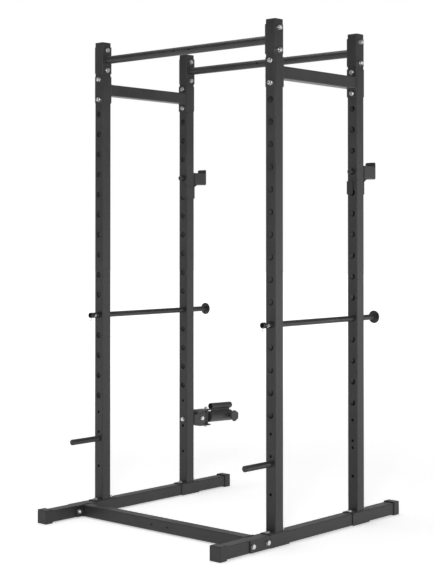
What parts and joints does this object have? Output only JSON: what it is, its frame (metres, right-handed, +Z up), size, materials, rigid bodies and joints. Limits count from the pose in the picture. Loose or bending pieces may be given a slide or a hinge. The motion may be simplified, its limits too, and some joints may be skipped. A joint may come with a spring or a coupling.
{
  "type": "power cage",
  "caption": "Free-standing power cage: drilled square-tube uprights on base rails, with pull-up bars, pull-out safety rods, turn-in bar hooks, plate pegs and a swivelling landmine sleeve.",
  "frame": {"origin": "on the floor at the middle of the cage's footprint box, which is midway between the rear ends of the base rails' caps and the front of the landmine's clamp knob", "axes": "+Z up, -Y towards the front, the side on which the bar hooks are, +X to the right of someone standing in front and looking in"},
  "size_m": [1.0792, 1.2268, 2.1053],
  "materials": {
    "powder_coat": "fine-textured charcoal black powder coat, semi-gloss",
    "zinc": "bright zinc plate",
    "moulded_plastic": "black moulded plastic, satin"
  },
  "bodies": {
    "root": {"backing_plate_left": "powder_coat", "backing_plate_right": "powder_coat", "bar_bolt_front_left_high": "zinc", "bar_bolt_front_left_low": "zinc", "bar_bolt_front_right_high": "zinc", "bar_bolt_front_right_low": "zinc", "bar_bolt_rear_left_high": "zinc", "bar_bolt_rear_left_low": "zinc", "bar_bolt_rear_right_high": "zinc", "bar_bolt_rear_right_low": "zinc", "base_rail_left": "powder_coat", "base_rail_right": "powder_coat", "landmine_bracket": "powder_coat", "landmine_tilt_bolt": "zinc", "landmine_wall_bolt": "zinc", "plate_peg_bolt_left": "zinc", "plate_peg_bolt_right": "zinc", "plate_peg_cap_left": "moulded_plastic", "plate_peg_cap_right": "moulded_plastic", "plate_peg_left": "powder_coat", "plate_peg_right": "powder_coat", "pull_up_bar_front": "powder_coat", "pull_up_bar_rear": "powder_coat", "rail_cap_front_left": "moulded_plastic", "rail_cap_front_right": "moulded_plastic", "rail_cap_rear_left": "moulded_plastic", "rail_cap_rear_right": "moulded_plastic", "rear_cross_tube": "powder_coat", "side_rail_bolt_front_left_high": "zinc", "side_rail_bolt_front_left_low": "zinc", "side_rail_bolt_front_right_high": "zinc", "side_rail_bolt_front_right_low": "zinc", "side_rail_bolt_rear_left_high": "zinc", "side_rail_bolt_rear_left_low": "zinc", "side_rail_bolt_rear_right_high": "zinc", "side_rail_bolt_rear_right_low": "zinc", "side_rail_left": "powder_coat", "side_rail_right": "powder_coat", "upright_cap_front_left": "moulded_plastic", "upright_cap_front_right": "moulded_plastic", "upright_cap_rear_left": "moulded_plastic", "upright_cap_rear_right": "moulded_plastic", "upright_front_left": "powder_coat", "upright_front_right": "powder_coat", "upright_rear_left": "powder_coat", "upright_rear_right": "powder_coat"},
    "left_rod": {"safety_rod_left": "powder_coat"},
    "right_rod": {"safety_rod_right": "powder_coat"},
    "left_clip": {"rod_clip_left": "zinc"},
    "right_clip": {"rod_clip_right": "zinc"},
    "left_hook": {"bar_hook_left": "powder_coat", "bar_hook_liner_left": "moulded_plastic"},
    "right_hook": {"bar_hook_right": "powder_coat", "bar_hook_liner_right": "moulded_plastic"},
    "landmine_fork": {"landmine_fork": "powder_coat", "landmine_swivel_bolt": "zinc"},
    "landmine_sleeve": {"landmine_sleeve": "powder_coat"},
    "landmine_knob": {"landmine_knob": "moulded_plastic"}
  },
  "joints": [
    {"name": "left_rod_slide", "type": "slide", "parent": "root", "child": "left_rod", "axis": [0, 1, 0], "range_m": [-0.033, 0.105]},
    {"name": "left_clip_pull", "type": "slide", "parent": "left_rod", "child": "left_clip", "axis": [-0.4695, 0, 0.8829], "range_m": [0, 0.06]},
    {"name": "left_hook_turn", "type": "hinge", "parent": "root", "child": "left_hook", "pos_m": [-0.5, -0.29358, 1.512], "axis": [0, -1, 0], "range_deg": [0, 90]},
    {"name": "right_rod_slide", "type": "slide", "parent": "root", "child": "right_rod", "axis": [0, 1, 0], "range_m": [-0.033, 0.105]},
    {"name": "right_clip_pull", "type": "slide", "parent": "right_rod", "child": "right_clip", "axis": [-0.4695, 0, 0.8829], "range_m": [0, 0.06]},
    {"name": "right_hook_turn", "type": "hinge", "parent": "root", "child": "right_hook", "pos_m": [0.5, -0.29358, 1.512], "axis": [0, 1, 0], "range_deg": [0, 90]},
    {"name": "landmine_tilt", "type": "hinge", "parent": "root", "child": "landmine_fork", "pos_m": [0.5, -0.37058, 0.356], "axis": [-1, 0, 0], "range_deg": [0, 60]},
    {"name": "landmine_swivel", "type": "hinge", "parent": "landmine_fork", "child": "landmine_sleeve", "pos_m": [0.5, -0.42954, 0.35374], "axis": [0, -0.0384, 0.9993], "range_deg": [-80, 80]},
    {"name": "knob_screw", "type": "hinge", "parent": "landmine_sleeve", "child": "landmine_knob", "pos_m": [0.5, -0.58842, 0.34763], "axis": [-1, 0, 0], "continuous": true}
  ]
}
